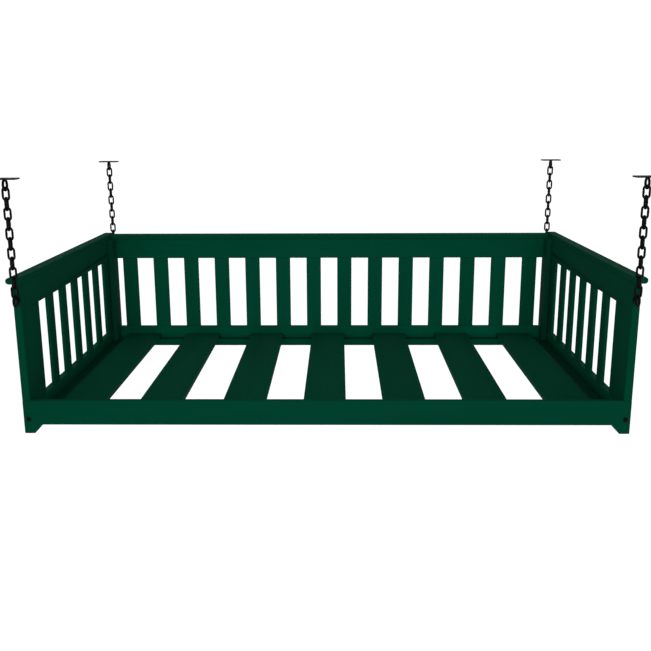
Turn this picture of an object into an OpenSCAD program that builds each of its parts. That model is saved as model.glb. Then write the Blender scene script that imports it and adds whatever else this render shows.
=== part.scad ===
// Hanging daybed porch swing: a slatted three-sided wooden frame on four chains.
// Millimetres. +X is the sitter's left-to-right as seen from the front, +Y is
// towards the back and +Z is up. The origin is on the ceiling plane, midway
// between the four hanger plates. Bed heights are measured up from the feet.

/* [Bed] */
// Width over the outer faces of the two side panels
bed_w = 1991; // [1900:1:2100]
// Depth from the front face to the rear face
bed_d = 1148; // [1050:2:1250]
// Thickness of posts and rails
board_t = 26; // [22:1:30]
// Thickness of aprons, seat slats and the back cap
thin_board_t = 19; // [16:1:21]
// Width of the four posts along the side panels
post_w = 68.5; // [55:0.5:80]

/* [Aprons] */
// Height of the front apron from its feet to its top edge
apron_h = 114; // [100:1:130]
// Height of the rear apron, which stays below the back panel's slots
rear_apron_h = 90; // [75:1:95]
// Height of the relieved lower edge above the feet
foot_rise = 30; // [15:1:35]
// Width of a foot where it meets the relieved edge
foot_w = 61; // [50:1:75]
// Width of a foot at its very bottom
foot_tip_w = 33; // [25:1:45]

/* [Panels] */
// Height of the top edge of the back panel's lower rail
back_low_top = 98; // [92:1:112]
// Height of the lower edge of the back panel's top rail
back_high_bottom = 412; // [380:1:430]
// Height of the top edge of the back panel, under its cap
back_top = 498; // [480:1:520]
// Height of the top edge of the side panels' lower rails
side_low_top = 88; // [80:1:112]
// Height of the lower edge of the side panels' top rails
side_high_bottom = 414; // [380:1:430]
// Height of the top edge of the side panels, under their arm caps
side_top = 500.5; // [480:0.5:515]
// Height of the lower edge of the lower rails
rail_low_bottom = 15.5; // [5:0.5:25]
// Depth of the slat tenons inside the rails
tenon = 12; // [6:1:20]
// Thickness of the upright slats
slat_t = 12; // [10:0.5:15]
// Setback of the slats from the inner face of the rails
slat_inset = 2; // [1:0.5:6]

/* [Back slats] */
// Number of back slats
back_slat_n = 14; // [10:1:15]
// Width of a back slat
back_slat_w = 64; // [50:0.5:70]
// Centre distance of the back slats
back_pitch = 137.2; // [110:0.05:138]
// Width of the stiles that end the back panel
back_stile_w = 18; // [16:1:24]
// Width of the corner cleats inside the two rear corners
cleat_w = 68; // [50:1:80]
// Thickness of the corner cleats
cleat_t = 19; // [18:1:28]

/* [Side slats] */
// Number of slats in each side panel
side_slat_n = 5; // [3:1:5]
// Width of a side slat
side_slat_w = 55; // [45:1:65]
// Centre distance of the side slats
side_pitch = 142.6; // [120:0.1:144]
// How far the row of side slats sits towards the front
side_slat_shift = 8; // [0:0.1:20]
// Width of the wide slats beside the front posts
front_stile_w = 91.5; // [70:0.5:100]
// Width of the wide slats beside the rear posts
rear_stile_w = 109.5; // [80:0.5:115]

/* [Caps] */
// Thickness of the arm caps
arm_cap_t = 21; // [18:1:30]
// Overhang of the arm caps beyond the side panels
arm_cap_over = 19.5; // [12:0.5:25]
// Overhang of the back cap in front of the back panel
back_cap_over = 5; // [0:1:12]

/* [Seat] */
// Height of the upper face of the seat slats
seat_h = 66; // [60:0.5:80]
// Width of a seat slat
seat_slat_w = 146.5; // [120:0.5:150]
// Centre distance of the seat slats
seat_pitch = 278.8; // [270:0.2:282]
// Width of the ledgers that carry the seat slats
ledger_w = 38; // [30:1:45]
// Height of the ledgers along the back and the sides
ledger_h = 28; // [22:1:30]
// Height of the front ledger, which stays out of sight behind the front apron
front_ledger_h = 22; // [18:1:24]

/* [Chains] */
// Wire diameter of a chain link
wire_d = 7; // [5:0.5:8]
// Centre distance of neighbouring links
link_pitch = 30.8; // [28:0.2:34]
// Number of links in the run between the top link and the lower link
run_n = 7; // [3:2:21]
// Clear width inside a link
link_clear = 12; // [11.5:0.5:15]
// Distance of the chains in front of and behind the bed
chain_out = 24; // [24:0.5:30]
// Height of the eye bolts above the feet
eye_h = 451.5; // [430:0.1:458]
// Width of a hanger plate
plate_w = 78; // [70:1:90]
// Depth of a hanger plate
plate_d = 44; // [32:1:50]
// Centre distance of the two holes in a hanger plate
hole_gap = 54; // [50:1:56]

/* [Hidden] */
$fn = 48;
wood = "darkgreen";
steel = "dimgray";

half_w = bed_w / 2;
half_d = bed_d / 2;
inner_x = half_w - board_t;
back_y = half_d - thin_board_t - board_t;
post_x = half_w - board_t / 2;
side_slat_h = side_high_bottom - side_low_top + 2 * tenon;
side_slat_mid = (side_high_bottom + side_low_top) / 2;
back_slat_h = back_high_bottom - back_low_top + 2 * tenon;
back_slat_mid = (back_high_bottom + back_low_top) / 2;
side_slat_x = inner_x + slat_inset + slat_t / 2;
back_slat_y = back_y + slat_inset + slat_t / 2;
cap_w = board_t + arm_cap_over;
seat_front_y = -half_d + thin_board_t;
seat_len = back_y - seat_front_y;
ledger_top = seat_h - thin_board_t;

// Small hand-set shifts of the seat slats from even spacing, left to right
seat_shift = [-4, -14, -4, -5, -9, -7, -4];

chain_x = post_x - 5.5;
chain_y = half_d + chain_out;
link_gap = 0.4;
link_in = link_pitch + link_gap;
link_bend_r = (link_clear + wire_d) / 2;
link_leg = link_in - link_clear;
eye_wire_d = 8;
eye_clear = 27;
eye_r = (eye_clear + eye_wire_d) / 2;
plate_t = 5;
hanger_eye_clear = 24;
hanger_eye_r = (hanger_eye_clear + eye_wire_d) / 2;
hanger_eye_z = -plate_t - hanger_eye_r - 0.25;
top_link_z = hanger_eye_z - hanger_eye_clear / 2 - link_in / 2 + link_gap;
run_z = top_link_z - link_pitch;
lower_link_z = run_z - run_n * link_pitch;
tail_link_z = lower_link_z - 2 * link_pitch;
eye_z = tail_link_z - link_in / 2 + link_gap - eye_clear / 2;
ceiling_h = eye_h - eye_z;
hole_r = 3.6;

bolt_h = 49.5;
bolt_x = half_w - 16;
bolt_shank_r = 3.2;
bolt_len = 62;
bolt_head_r = 8;
eye_shank_r = 4;
eye_shank_len = 58;
washer_r = 7.5;
washer_t = 2;
screw_r = 2.1;
screw_head_r = 4.2;
screw_head_h = 3;
screw_slack = 0.1;
slat_screw_len = 36;
slat_screw_spread = 90;
cap_screw_len = 55;
back_screw_len = 50;
arm_screw_y = [-530, -350, -120, 120, 350, 530];
back_screw_x = [-840, -560, -280, 0, 280, 560, 840];
cleat_screw_h = [170, 300, 440];
cleat_screw_len = 30;

CORNERS = ["fl", "fr", "bl", "br"];
SIDES = ["left", "right"];

// Places children at bed heights, which count up from the feet
module at_bed() translate([0, 0, -ceiling_h]) children();

// A board between two corners, given in bed heights
module board(low, high) translate(low) cube(high - low);

// Left or right: -1 mirrors the right-hand part to the left
module on_side(s) mirror([s < 0 ? 1 : 0, 0, 0]) children();

// Front or rear: -1 mirrors the rear part to the front
module on_end(e) mirror([0, e < 0 ? 1 : 0, 0]) children();

// A wood screw along -Z with its head's top at the origin
module screw(len, slack = 0) {
    head_r = screw_head_r + slack;
    translate([0, 0, -screw_head_h]) cylinder(h = screw_head_h, r1 = screw_r + slack, r2 = head_r);
    translate([0, 0, -len]) cylinder(h = len - screw_head_h, r = screw_r + slack);
}

// The places where screws run, each drawn for its solids or for its holes
module slat_screw_places() {
    for (i = [0:6], side = [-1, 1], e = [-1, 1]) {
        y = e < 0 ? seat_front_y + ledger_w / 2 : back_y - ledger_w / 2;
        translate([seat_x(i) + side * slat_screw_spread / 2, y, ledger_low(e)])
            rotate([180, 0, 0]) children();
    }
}

module cap_screw_places() {
    for (s = [-1, 1], y = arm_screw_y) translate([s * post_x, y, side_top + arm_cap_t]) children();
}

module back_screw_places() {
    for (x = back_screw_x) translate([x, back_y + board_t / 2, back_top + thin_board_t]) children();
}

module cleat_screw_places() {
    for (s = [-1, 1], h = cleat_screw_h)
        translate([s * (inner_x - cleat_t), back_y - cleat_w / 2, h])
            rotate([0, -s * 90, 0]) children();
}

module apron_bolt_places() {
    for (s = [-1, 1], e = [-1, 1])
        translate([s * bolt_x, e * half_d, bolt_h]) rotate([-e * 90, 0, 0]) children();
}

function seat_x(i) = (i - 3) * seat_pitch + seat_shift[i];

function ledger_low(e) = ledger_top - (e < 0 ? front_ledger_h : ledger_h);

// One chain link, flat in the XZ plane
module flat_link() {
    for (s = [-1, 1]) {
        translate([s * link_bend_r, 0, -link_leg / 2]) cylinder(h = link_leg, d = wire_d);
        translate([0, 0, s * link_leg / 2]) rotate([90, 0, s > 0 ? 0 : 180])
            rotate([0, 0, s > 0 ? 0 : 180])
                rotate_extrude(angle = 180) translate([link_bend_r, 0]) circle(d = wire_d);
    }
}

// A link turned to lie across its neighbours, in the YZ plane
module cross_link() rotate([0, 0, 90]) flat_link();

// An upright ring of wire in the YZ plane
module ring(r) rotate([0, 90, 0]) rotate_extrude() translate([r, 0]) circle(d = eye_wire_d);

// Ceiling plate with an eye welded under it and two open screw holes
module hanger(s, e) {
    color(steel) translate([s * chain_x, e * chain_y, 0]) {
        difference() {
            translate([-plate_w / 2, -plate_d / 2, -plate_t]) cube([plate_w, plate_d, plate_t]);
            for (x = [-1, 1]) translate([x * hole_gap / 2, 0, -plate_t - 1])
                cylinder(h = plate_t + 2, r = hole_r);
        }
        translate([0, 0, hanger_eye_z]) ring(hanger_eye_r);
    }
}

module top_link(s, e) color(steel) translate([s * chain_x, e * chain_y, top_link_z]) flat_link();

// The run of links between the top link and the lower link
module chain(s, e) {
    color(steel) translate([s * chain_x, e * chain_y, run_z])
        for (i = [0:run_n - 1]) translate([0, 0, -i * link_pitch])
            if (i % 2 == 0) cross_link(); else flat_link();
}

module lower_link(s, e) color(steel) translate([s * chain_x, e * chain_y, lower_link_z]) flat_link();

// The two links that stay in line with the bed, down to the eye bolt
module chain_tail(s, e) {
    color(steel) translate([s * chain_x, e * chain_y, lower_link_z]) {
        translate([0, 0, -link_pitch]) cross_link();
        translate([0, 0, tail_link_z - lower_link_z]) flat_link();
    }
}

// Four eye bolts with washers, one screwed into the edge of each post
module eye_bolts() {
    color(steel) for (s = [-1, 1], e = [-1, 1]) on_end(e) translate([s * chain_x, chain_y, eye_z]) {
        ring(eye_r);
        translate([0, -chain_out - eye_shank_len, 0]) rotate([-90, 0, 0])
            cylinder(h = eye_shank_len + chain_out - eye_r, r = eye_shank_r);
        translate([0, -chain_out, 0]) rotate([-90, 0, 0]) cylinder(h = washer_t, r = washer_r);
    }
}

module eye_bolt_holes() {
    for (s = [-1, 1], e = [-1, 1]) on_end(e)
        translate([s * chain_x, half_d - eye_shank_len - 1, eye_h]) rotate([-90, 0, 0])
            cylinder(h = eye_shank_len + 2, r = eye_shank_r + screw_slack);
}

function apron_top(e) = e < 0 ? apron_h : rear_apron_h;

// A post with a lap for the apron, drilled for the eye bolt and the apron bolt
module post(s, e) {
    color(wood) at_bed() difference() {
        on_side(s) on_end(e) difference() {
            board([inner_x, half_d - post_w, 0], [half_w, half_d, side_top]);
            board([inner_x - 1, half_d - thin_board_t, -1], [half_w + 1, half_d + 1, apron_top(e)]);
        }
        eye_bolt_holes();
        apron_bolt_places() bolt(screw_slack);
        cap_screw_places() screw(cap_screw_len, screw_slack);
    }
}

// Lag bolt along -Z with its domed head standing above the origin
module bolt(slack = 0) {
    translate([0, 0, -bolt_len]) cylinder(h = bolt_len, r = bolt_shank_r + slack);
    if (slack == 0) {
        cylinder(h = 1.6, r = bolt_head_r);
        translate([0, 0, 1.6]) cylinder(h = 2.2, r1 = bolt_head_r, r2 = bolt_head_r - 3);
    }
}

// Apron across the whole width, cut away below between two feet
module apron(e) {
    color(wood) at_bed() difference() {
        on_end(e) translate([0, half_d, 0]) rotate([90, 0, 0]) linear_extrude(thin_board_t)
            polygon([
                [-half_w, 0], [-half_w + foot_tip_w, 0], [-half_w + foot_w, foot_rise],
                [half_w - foot_w, foot_rise], [half_w - foot_tip_w, 0], [half_w, 0],
                [half_w, apron_top(e)], [-half_w, apron_top(e)]
            ]);
        apron_bolt_places() bolt(screw_slack);
    }
}

module side_bottom_rail(s) {
    color(wood) at_bed() difference() {
        on_side(s) board([inner_x, -half_d + post_w, rail_low_bottom],
            [half_w, half_d - post_w, side_low_top]);
        side_slat_row(s);
        side_stile_pair(s);
    }
}

module side_top_rail(s) {
    color(wood) at_bed() difference() {
        on_side(s) board([inner_x, -half_d + post_w, side_high_bottom],
            [half_w, half_d - post_w, side_top]);
        side_slat_row(s);
        side_stile_pair(s);
        cap_screw_places() screw(cap_screw_len, screw_slack);
        cleat_screw_places() screw(cleat_screw_len, screw_slack);
    }
}

// An upright of a side panel, centred on a place along Y
module side_upright(s, y, w) {
    translate([s * side_slat_x, y, side_slat_mid]) cube([slat_t, w, side_slat_h], center = true);
}

module side_slat_row(s) {
    for (i = [0:side_slat_n - 1])
        side_upright(s, (i - (side_slat_n - 1) / 2) * side_pitch - side_slat_shift, side_slat_w);
}

module side_stile_pair(s) {
    side_upright(s, -half_d + post_w + front_stile_w / 2, front_stile_w);
    side_upright(s, half_d - post_w - rear_stile_w / 2, rear_stile_w);
}

module side_slats(s) color(wood) at_bed() side_slat_row(s);

module side_stiles(s) {
    color(wood) at_bed() difference() {
        side_stile_pair(s);
        cleat_screw_places() screw(cleat_screw_len, screw_slack);
    }
}

// Arm cap with a rounded outer edge, over the whole depth of the bed
module arm_cap(s) {
    color(wood) at_bed() difference() {
        on_side(s) translate([inner_x, half_d, side_top]) rotate([90, 0, 0])
            linear_extrude(bed_d) {
                square([cap_w - arm_cap_t / 2, arm_cap_t]);
                translate([cap_w - arm_cap_t / 2, arm_cap_t / 2]) circle(d = arm_cap_t);
            }
        cap_screw_places() screw(cap_screw_len, screw_slack);
    }
}

// Upright cleat that joins a side panel to the back panel in the corner
module corner_cleat(s) {
    color(wood) at_bed() difference() {
        on_side(s) board([inner_x - cleat_t, back_y - cleat_w, ledger_top],
            [inner_x, back_y, min(side_top, back_top)]);
        cleat_screw_places() screw(cleat_screw_len, screw_slack);
    }
}

module ledger(e) {
    low_y = e < 0 ? seat_front_y : back_y - ledger_w;
    color(wood) at_bed() difference() {
        board([-inner_x, low_y, ledger_low(e)], [inner_x, low_y + ledger_w, ledger_top]);
        slat_screw_places() screw(slat_screw_len, screw_slack);
    }
}

// Ledger along a side panel, between the front and the rear ledger
module side_ledger(s) {
    color(wood) at_bed() on_side(s)
        board([inner_x - ledger_w, seat_front_y + ledger_w, ledger_low(1)],
            [inner_x, back_y - ledger_w, ledger_top]);
}

module back_bottom_rail() {
    color(wood) at_bed() difference() {
        board([-inner_x, back_y, rail_low_bottom], [inner_x, back_y + board_t, back_low_top]);
        back_slat_row();
    }
}

module back_top_rail() {
    color(wood) at_bed() difference() {
        board([-inner_x, back_y, back_high_bottom], [inner_x, back_y + board_t, back_top]);
        back_slat_row();
        back_screw_places() screw(back_screw_len, screw_slack);
    }
}

module back_slat_row() {
    for (i = [0:back_slat_n - 1])
        translate([(i - (back_slat_n - 1) / 2) * back_pitch, back_slat_y, back_slat_mid])
            cube([back_slat_w, slat_t, back_slat_h], center = true);
}

module back_slats() color(wood) at_bed() back_slat_row();

module back_stiles() {
    color(wood) at_bed() for (s = [-1, 1]) on_side(s)
        board([inner_x - back_stile_w, back_y, back_low_top],
            [inner_x, back_y + board_t, back_high_bottom]);
}

module back_cap() {
    color(wood) at_bed() difference() {
        board([-inner_x, back_y - back_cap_over, back_top], [inner_x, half_d, back_top + thin_board_t]);
        back_screw_places() screw(back_screw_len, screw_slack);
    }
}

module seat_slat(i) {
    color(wood) at_bed() difference() {
        translate([seat_x(i) - seat_slat_w / 2, seat_front_y, ledger_top])
            cube([seat_slat_w, seat_len, thin_board_t]);
        slat_screw_places() screw(slat_screw_len, screw_slack);
    }
}

module apron_bolts() color(steel) at_bed() apron_bolt_places() bolt();

module slat_screws() color(steel) at_bed() slat_screw_places() screw(slat_screw_len);

module cap_screws() {
    color(wood) at_bed() {
        cap_screw_places() screw(cap_screw_len);
        back_screw_places() screw(back_screw_len);
    }
}

module cleat_screws() color(wood) at_bed() cleat_screw_places() screw(cleat_screw_len);

for (k = [0:3]) {
    c = CORNERS[k];
    s = k % 2 == 0 ? -1 : 1;
    e = k < 2 ? -1 : 1;
    hanger(s, e);
    top_link(s, e);
    chain(s, e);
    lower_link(s, e);
    chain_tail(s, e);
}
for (k = [0:1]) {
    side = SIDES[k];
    s = 2 * k - 1;
    post(s, -1);
    post(s, 1);
    side_bottom_rail(s);
    side_top_rail(s);
    side_stiles(s);
    side_slats(s);
    arm_cap(s);
    corner_cleat(s);
    side_ledger(s);
}
apron(-1);  // front_apron
apron(1);  // rear_apron
ledger(-1);  // front_ledger
ledger(1);  // rear_ledger
back_bottom_rail();
back_top_rail();
back_stiles();
back_slats();
back_cap();
for (i = [0:6]) seat_slat(i);
eye_bolts();
apron_bolts();
slat_screws();
cap_screws();
cleat_screws();
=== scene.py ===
import math

import bmesh
import bpy
from mathutils import Matrix, Vector


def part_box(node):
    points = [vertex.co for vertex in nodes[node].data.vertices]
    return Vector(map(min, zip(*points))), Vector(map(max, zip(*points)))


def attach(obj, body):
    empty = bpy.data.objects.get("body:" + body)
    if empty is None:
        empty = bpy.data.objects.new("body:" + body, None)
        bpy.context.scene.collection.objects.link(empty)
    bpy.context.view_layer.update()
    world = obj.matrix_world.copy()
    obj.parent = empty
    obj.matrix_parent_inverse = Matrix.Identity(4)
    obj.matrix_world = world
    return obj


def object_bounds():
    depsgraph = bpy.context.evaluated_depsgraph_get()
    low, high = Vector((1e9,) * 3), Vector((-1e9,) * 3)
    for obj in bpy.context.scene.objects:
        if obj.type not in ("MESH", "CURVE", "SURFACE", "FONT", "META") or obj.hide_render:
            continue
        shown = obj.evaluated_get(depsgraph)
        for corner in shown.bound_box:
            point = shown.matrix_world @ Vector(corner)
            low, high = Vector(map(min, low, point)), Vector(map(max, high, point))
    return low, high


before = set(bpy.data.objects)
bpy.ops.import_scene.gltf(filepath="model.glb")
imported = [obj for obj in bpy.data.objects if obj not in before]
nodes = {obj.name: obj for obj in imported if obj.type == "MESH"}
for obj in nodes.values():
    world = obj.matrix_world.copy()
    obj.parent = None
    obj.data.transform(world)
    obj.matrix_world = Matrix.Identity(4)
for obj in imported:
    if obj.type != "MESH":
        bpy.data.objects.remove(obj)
cad_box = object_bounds()

CORNERS = ("fl", "fr", "bl", "br")
SIDES = ("left", "right")

# Boards by the axis that their grain runs along
BOARDS = {
    "X": ["front_apron", "rear_apron", "front_ledger", "rear_ledger",
          "back_bottom_rail", "back_top_rail", "back_cap"],
    "Y": [f"{board}_{side}" for board in ("side_bottom_rail", "side_top_rail", "arm_cap",
                                          "side_ledger")
          for side in SIDES] + [f"seat_slat_{i}" for i in range(1, 8)],
    "Z": [f"{board}_{side}" for board in ("front_post", "rear_post", "side_stiles",
                                          "side_slats", "corner_cleat")
          for side in SIDES] + ["back_stiles", "back_slats"],
}
CHAIN_NODES = [f"{piece}_{corner}" for corner in CORNERS
               for piece in ("hanger", "top_link", "chain", "lower_link", "chain_tail")]

# Radius of the eased edges in metres, by the start of the node's name
EASED = {"arm_cap": 0.0016, "back_cap": 0.0022, "seat_slat": 0.0022, "front_apron": 0.0020,
         "back_slats": 0.0013, "side_slats": 0.0013, "side_stiles": 0.0013}
EASED_ELSE = 0.0016
WELD_DISTANCE = 0.00002
BEVEL_SEGMENTS = 3
BEVEL_ANGLE = math.radians(60)


# ---- Materials -------------------------------------------------------------

PAINT = (0.0002, 0.0287, 0.0146)
PAINT_DARK = (0.0001, 0.0251, 0.0125)
PAINT_LIGHT = (0.0004, 0.0313, 0.0162)
PAINT_STOPS = (0.32, 0.50, 0.68)
# Painted light and shade: brightness of a board's paint against the base, by the first key that
# starts its name; the back panel and side bottom rails are painted lighter and the side ledgers
# darker for how the light falls on them
PAINTED_LIGHT_TONES = {"back_bottom_rail": 1.48, "back_cap": 1.08, "back_": 1.30,
         "side_ledger": 0.62, "side_bottom_rail": 1.20, "seat_slat": 1.04}
# Height up a side rail, as a share of the rail, where the shade is full, and its depth
SHADE_START = 0.43
SHADE_DROP = 0.30
WOOD_SPECULAR = 0.003
STEEL_SPECULAR = 0.035
SCREW_SPECULAR = 0.02
FLOOR_SPECULAR = 0.1
BLACK = (0.0012, 0.0012, 0.0013)
BLACK_WORN = (0.0048, 0.0049, 0.0051)


class Tree:
    """A material's node tree, built one linked node at a time."""

    def __init__(self, name):
        self.material = bpy.data.materials.new(name)
        self.material.use_nodes = True
        self.nodes = self.material.node_tree.nodes
        self.links = self.material.node_tree.links
        self.shader = self.nodes["Principled BSDF"]

    def add(self, kind, inputs=None, **settings):
        node = self.nodes.new(kind)
        for key, value in settings.items():
            setattr(node, key, value)
        for key, value in (inputs or {}).items():
            if isinstance(value, bpy.types.NodeSocket):
                self.links.new(value, node.inputs[key])
            else:
                node.inputs[key].default_value = value
        return node

    def noise(self, scale, offset, frequency, detail=3.0, roughness=0.55):
        """Noise over the object's own coordinates, stretched by scale."""
        place = self.add("ShaderNodeTexCoord")
        stretch = self.add("ShaderNodeMapping", {"Vector": place.outputs["Object"],
                                                 "Scale": scale, "Location": offset})
        texture = self.add("ShaderNodeTexNoise", {"Vector": stretch.outputs["Vector"],
                                                  "Scale": frequency, "Detail": detail,
                                                  "Roughness": roughness})
        return texture.outputs["Fac"]

    def ramp(self, value, stops):
        ramp = self.add("ShaderNodeValToRGB", {"Fac": value})
        elements = ramp.color_ramp.elements
        for element, (position, color) in zip(elements, (stops[0], stops[-1])):
            element.position = position
            element.color = (*color, 1.0)
        for position, color in stops[1:-1]:
            elements.new(position).color = (*color, 1.0)
        return ramp.outputs["Color"]

    def level(self, value, low, high):
        """Maps a 0 to 1 pattern onto low to high."""
        return self.add("ShaderNodeMapRange", {"Value": value, "To Min": low,
                                               "To Max": high}).outputs["Result"]

    def bump(self, height, strength, distance, below=None):
        inputs = {"Height": height, "Strength": strength, "Distance": distance}
        if below is not None:
            inputs["Normal"] = below
        return self.add("ShaderNodeBump", inputs).outputs["Normal"]

    def set(self, name, value):
        if isinstance(value, bpy.types.NodeSocket):
            self.links.new(value, self.shader.inputs[name])
        else:
            self.shader.inputs[name].default_value = value


def along(axis, length, width):
    """Scale of a pattern that is length long and width wide on a board along axis."""
    scale = [1.0 / width] * 3
    scale["XYZ".index(axis)] = 1.0 / length
    return scale


def painted_shade_on_rail(tree, color, rail, side):
    """Painted shade: darkens a side rail's inner face down towards the ledger, standing in for the
    shadow beside the seat.
    """
    place = tree.add("ShaderNodeTexCoord")
    axes = tree.add("ShaderNodeSeparateXYZ", {"Vector": place.outputs["Object"]})
    xs, _, zs = zip(*(tuple(corner) for corner in rail.bound_box))
    inner, outer = (max(xs), min(xs)) if side == "left" else (min(xs), max(xs))
    ledger_z = min(zs) + SHADE_START * (max(zs) - min(zs))
    inside = tree.add("ShaderNodeMapRange", {"Value": axes.outputs["X"], "From Min": outer,
                                             "From Max": inner})
    low = tree.add("ShaderNodeMapRange", {"Value": axes.outputs["Z"], "From Min": max(zs),
                                          "From Max": ledger_z, "To Max": SHADE_DROP})
    drop = tree.add("ShaderNodeMath", {0: low.outputs["Result"], 1: inside.outputs["Result"]},
                    operation="MULTIPLY")
    kept = tree.add("ShaderNodeMath", {0: 1.0, 1: drop.outputs["Value"]}, operation="SUBTRACT")
    return tree.add("ShaderNodeVectorMath", {"Vector": color, "Scale": kept.outputs["Value"]},
                    operation="SCALE").outputs["Vector"]


def painted_wood(name, axis, seed, light_gain, shaded_rail=None):
    """Deep green exterior paint over planed softwood: soft tone changes, faint raised
    grain and fine brush strokes that run along the board. Its gain brightens or darkens the
    paint as painted light or shade, and a given side rail gets painted shade low on its inner face."""
    tree = Tree(name)
    shift = (seed * 1.37, seed * 2.11, seed * 0.73)
    tone = tree.noise(along(axis, 0.9, 0.11), shift, 1.0, detail=2.0)
    grain = tree.noise(along(axis, 0.35, 0.006), shift, 1.0, detail=5.0, roughness=0.6)
    strokes = tree.noise(along(axis, 0.12, 0.0011), shift, 1.0, detail=2.0)
    blend = tree.add("ShaderNodeMix", {"Factor": 0.45, "A": tone, "B": grain}, data_type="FLOAT")
    # the board's gain brightens or darkens the paint as painted light or shade
    shades = [tuple(channel * light_gain for channel in shade)
              for shade in (PAINT_DARK, PAINT, PAINT_LIGHT)]
    color = tree.ramp(blend.outputs["Result"], list(zip(PAINT_STOPS, shades)))
    # painted shade low on a side rail's inner face
    if shaded_rail is not None:
        color = painted_shade_on_rail(tree, color, shaded_rail, name.rpartition("_")[2])
    tree.set("Base Color", color)
    tree.set("Roughness", tree.level(strokes, 0.56, 0.74))
    tree.set("Specular IOR Level", WOOD_SPECULAR)
    raised = tree.bump(grain, 0.22, 0.0009)
    tree.set("Normal", tree.bump(strokes, 0.16, 0.0003, raised))
    return tree.material


def coated_steel():
    """Semi-gloss black coating with a fine orange-peel and rubbed high spots."""
    tree = Tree("black_coated_steel")
    peel = tree.noise((1.0, 1.0, 1.0), (0.0, 0.0, 0.0), 900.0, detail=2.0)
    rub = tree.noise((1.0, 1.0, 1.0), (3.0, 1.0, 2.0), 160.0, detail=4.0)
    tree.set("Base Color", tree.ramp(rub, [(0.45, BLACK), (0.62, BLACK), (0.80, BLACK_WORN)]))
    tree.set("Roughness", tree.level(rub, 0.34, 0.58))
    tree.set("Specular IOR Level", STEEL_SPECULAR)
    tree.set("Normal", tree.bump(peel, 0.25, 0.0002))
    return tree.material


def painted_screw():
    """Screw heads under the same paint, a touch smoother than the wood."""
    tree = Tree("painted_screw_head")
    tone = tree.noise((1.0, 1.0, 1.0), (5.0, 2.0, 7.0), 240.0)
    tree.set("Base Color", tree.ramp(tone, [(0.35, PAINT_DARK), (0.65, PAINT)]))
    tree.set("Roughness", tree.level(tone, 0.45, 0.60))
    tree.set("Specular IOR Level", SCREW_SPECULAR)
    tree.set("Normal", tree.bump(tone, 0.2, 0.0002))
    return tree.material


def backdrop_white():
    tree = Tree("studio_white")
    haze = tree.noise((1.0, 1.0, 1.0), (0.0, 0.0, 0.0), 0.8)
    tree.set("Base Color", tree.ramp(haze, [(0.3, (0.95, 0.95, 0.95)), (0.7, (0.97, 0.97, 0.97))]))
    tree.set("Roughness", 0.9)
    tree.set("Specular IOR Level", FLOOR_SPECULAR)
    return tree.material


def give(obj, material):
    obj.data.materials.clear()
    obj.data.materials.append(material)


# ---- Boards ----------------------------------------------------------------

def ease_edges(obj, radius):
    """Rounds a board's sharp edges without touching its mesh."""
    weld = obj.modifiers.new("weld", "WELD")
    weld.merge_threshold = WELD_DISTANCE
    bevel = obj.modifiers.new("eased", "BEVEL")
    bevel.width = radius
    bevel.segments = BEVEL_SEGMENTS
    bevel.limit_method = "ANGLE"
    bevel.angle_limit = BEVEL_ANGLE
    bevel.use_clamp_overlap = False
    bevel.harden_normals = True


def by_start(table, name, otherwise):
    """The table's first value whose key starts the name."""
    return next((value for start, value in table.items() if name.startswith(start)), otherwise)


board_count = 0
for axis, names in BOARDS.items():
    for name in names:
        board_count += 1
        # painted light or shade: each board's paint gain
        light_gain = by_start(PAINTED_LIGHT_TONES, name, 1.0)
        # the side bottom rails get painted shade low on their inner faces
        shaded_rail = nodes[name] if name.startswith("side_bottom_rail") else None
        give(nodes[name], painted_wood(f"green_paint_{name}", axis, board_count, light_gain,
                                       shaded_rail))
        ease_edges(nodes[name], by_start(EASED, name, EASED_ELSE))

steel = coated_steel()
for name in CHAIN_NODES + ["eye_bolts", "apron_bolts", "slat_screws"]:
    give(nodes[name], steel)
screw_paint = painted_screw()
for name in ("cap_screws", "cleat_screws"):
    give(nodes[name], screw_paint)


# ---- Weld beads on the chain links -----------------------------------------

# The links as the CAD has them: wire radius, leg offset, half length, spacing and counts
WIRE_R = 0.0035
LEG_X = 0.0095
LINK_HALF = 0.0226
LINK_PITCH = 0.0308
RUN_LINKS = 7
TAIL_LINKS = 2
# A seam's swelling over the wire, as pairs of height along the leg and rise
BEAD_PROFILE = ((-0.0024, 0.0), (-0.0016, 0.00028), (-0.0006, 0.00046),
                (0.0005, 0.00042), (0.0015, 0.00030), (0.0023, 0.0))
BEAD_SIDES = 18
BEAD_SINK = 0.00004


def add_bead(mesh, center, flat, side):
    """One raised weld seam round a link's leg; flat links lie in the XZ plane."""
    offset = Vector((side * LEG_X, 0, 0)) if flat else Vector((0, side * LEG_X, 0))
    rings = []
    for height, rise in BEAD_PROFILE:
        ring = []
        for k in range(BEAD_SIDES):
            angle = 2 * math.pi * k / BEAD_SIDES
            swell = 1 + 0.35 * math.sin(2 * angle + 40 * center.z)
            radius = WIRE_R - BEAD_SINK + rise * swell
            ring.append(mesh.verts.new(center + offset + Vector(
                (radius * math.cos(angle), radius * math.sin(angle), height))))
        rings.append(ring)
    for low, high in zip(rings, rings[1:]):
        for k in range(BEAD_SIDES):
            n = (k + 1) % BEAD_SIDES
            mesh.faces.new((low[k], low[n], high[n], high[k]))
    mesh.faces.new(list(reversed(rings[0])))
    mesh.faces.new(rings[-1])


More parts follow.
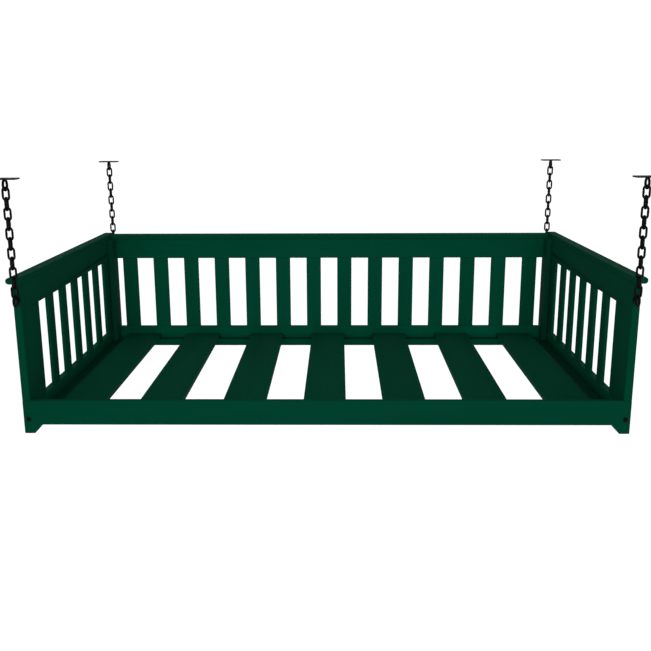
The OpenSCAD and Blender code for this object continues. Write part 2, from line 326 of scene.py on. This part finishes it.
def weld_beads(node, body, first_is_flat, count):
    """The seams of all the links in one node, as one piece."""
    low, high = (Vector(corner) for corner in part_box(node))
    middle = (low + high) / 2
    mesh = bmesh.new()
    for i in range(count):
        center = Vector((middle.x, middle.y, high.z - LINK_HALF - i * LINK_PITCH))
        flat = (i % 2 == 0) == first_is_flat
        add_bead(mesh, center, flat, 1 if i % 3 else -1)
    data = bpy.data.meshes.new(f"weld_beads_{node}")
    mesh.to_mesh(data)
    mesh.free()
    data.shade_smooth()
    piece = bpy.data.objects.new(f"weld_beads_{node}", data)
    bpy.context.scene.collection.objects.link(piece)
    give(piece, steel)
    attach(piece, body)


for corner in CORNERS:
    weld_beads(f"top_link_{corner}", f"top_links_{corner}", True, 1)
    weld_beads(f"chain_{corner}", f"chain_run_{corner}", False, RUN_LINKS)
    weld_beads(f"lower_link_{corner}", f"lower_links_{corner}", True, 1)
    weld_beads(f"chain_tail_{corner}", "swing_bed", False, TAIL_LINKS)


# ---- Studio ----------------------------------------------------------------

FLOOR_DROP = 1.8
FLOOR_HALF = 14.0
KEY_WATTS = 950.0
SKY_STRENGTH = 1.08
feet_z = cad_box[0][2]

floor_mesh = bpy.data.meshes.new("floor")
floor_mesh.from_pydata(
    [(x * FLOOR_HALF, y * FLOOR_HALF, feet_z - FLOOR_DROP)
     for x, y in ((-1, -1), (1, -1), (1, 1), (-1, 1))], [], [(0, 1, 2, 3)])
floor = bpy.data.objects.new("floor", floor_mesh)
bpy.context.scene.collection.objects.link(floor)
give(floor, backdrop_white())


def soft_light(name, position, target, size, power):
    data = bpy.data.lights.new(name, "AREA")
    data.shape = "RECTANGLE"
    data.size, data.size_y = size
    data.energy = power
    light = bpy.data.objects.new(name, data)
    light.location = position
    light.rotation_euler = (Vector(target) - Vector(position)).to_track_quat("-Z", "Y").to_euler()
    bpy.context.scene.collection.objects.link(light)


soft_light("key", (0.0, -14.0, 0.9), (0.0, 0.0, -0.6), (7.0, 4.0), KEY_WATTS)

world = bpy.data.worlds.new("studio")
world.use_nodes = True
sky = world.node_tree.nodes["Background"]
sky.inputs["Color"].default_value = (1.0, 1.0, 1.0, 1.0)
sky.inputs["Strength"].default_value = SKY_STRENGTH
bpy.context.scene.world = world
bpy.context.scene.view_settings.view_transform = "Standard"


# ---- Camera ----------------------------------------------------------------

SENSOR_MM = 36.0
LENS_MM = 46.4
CAMERA_AT = (0.045, -3.179, 0.156)
CAMERA_TURN = (0.954, -13.508, -0.260)  # yaw, pitch and roll in degrees

camera_data = bpy.data.cameras.new("camera")
camera_data.sensor_width = SENSOR_MM
camera_data.lens = LENS_MM
camera = bpy.data.objects.new("camera", camera_data)
camera.location = CAMERA_AT
yaw, pitch, roll = (math.radians(angle) for angle in CAMERA_TURN)
camera.rotation_euler = (Matrix.Rotation(yaw, 3, "Z") @ Matrix.Rotation(math.pi / 2 + pitch, 3, "X")
                         @ Matrix.Rotation(roll, 3, "Z")).to_euler()
bpy.context.scene.collection.objects.link(camera)
bpy.context.scene.camera = camera
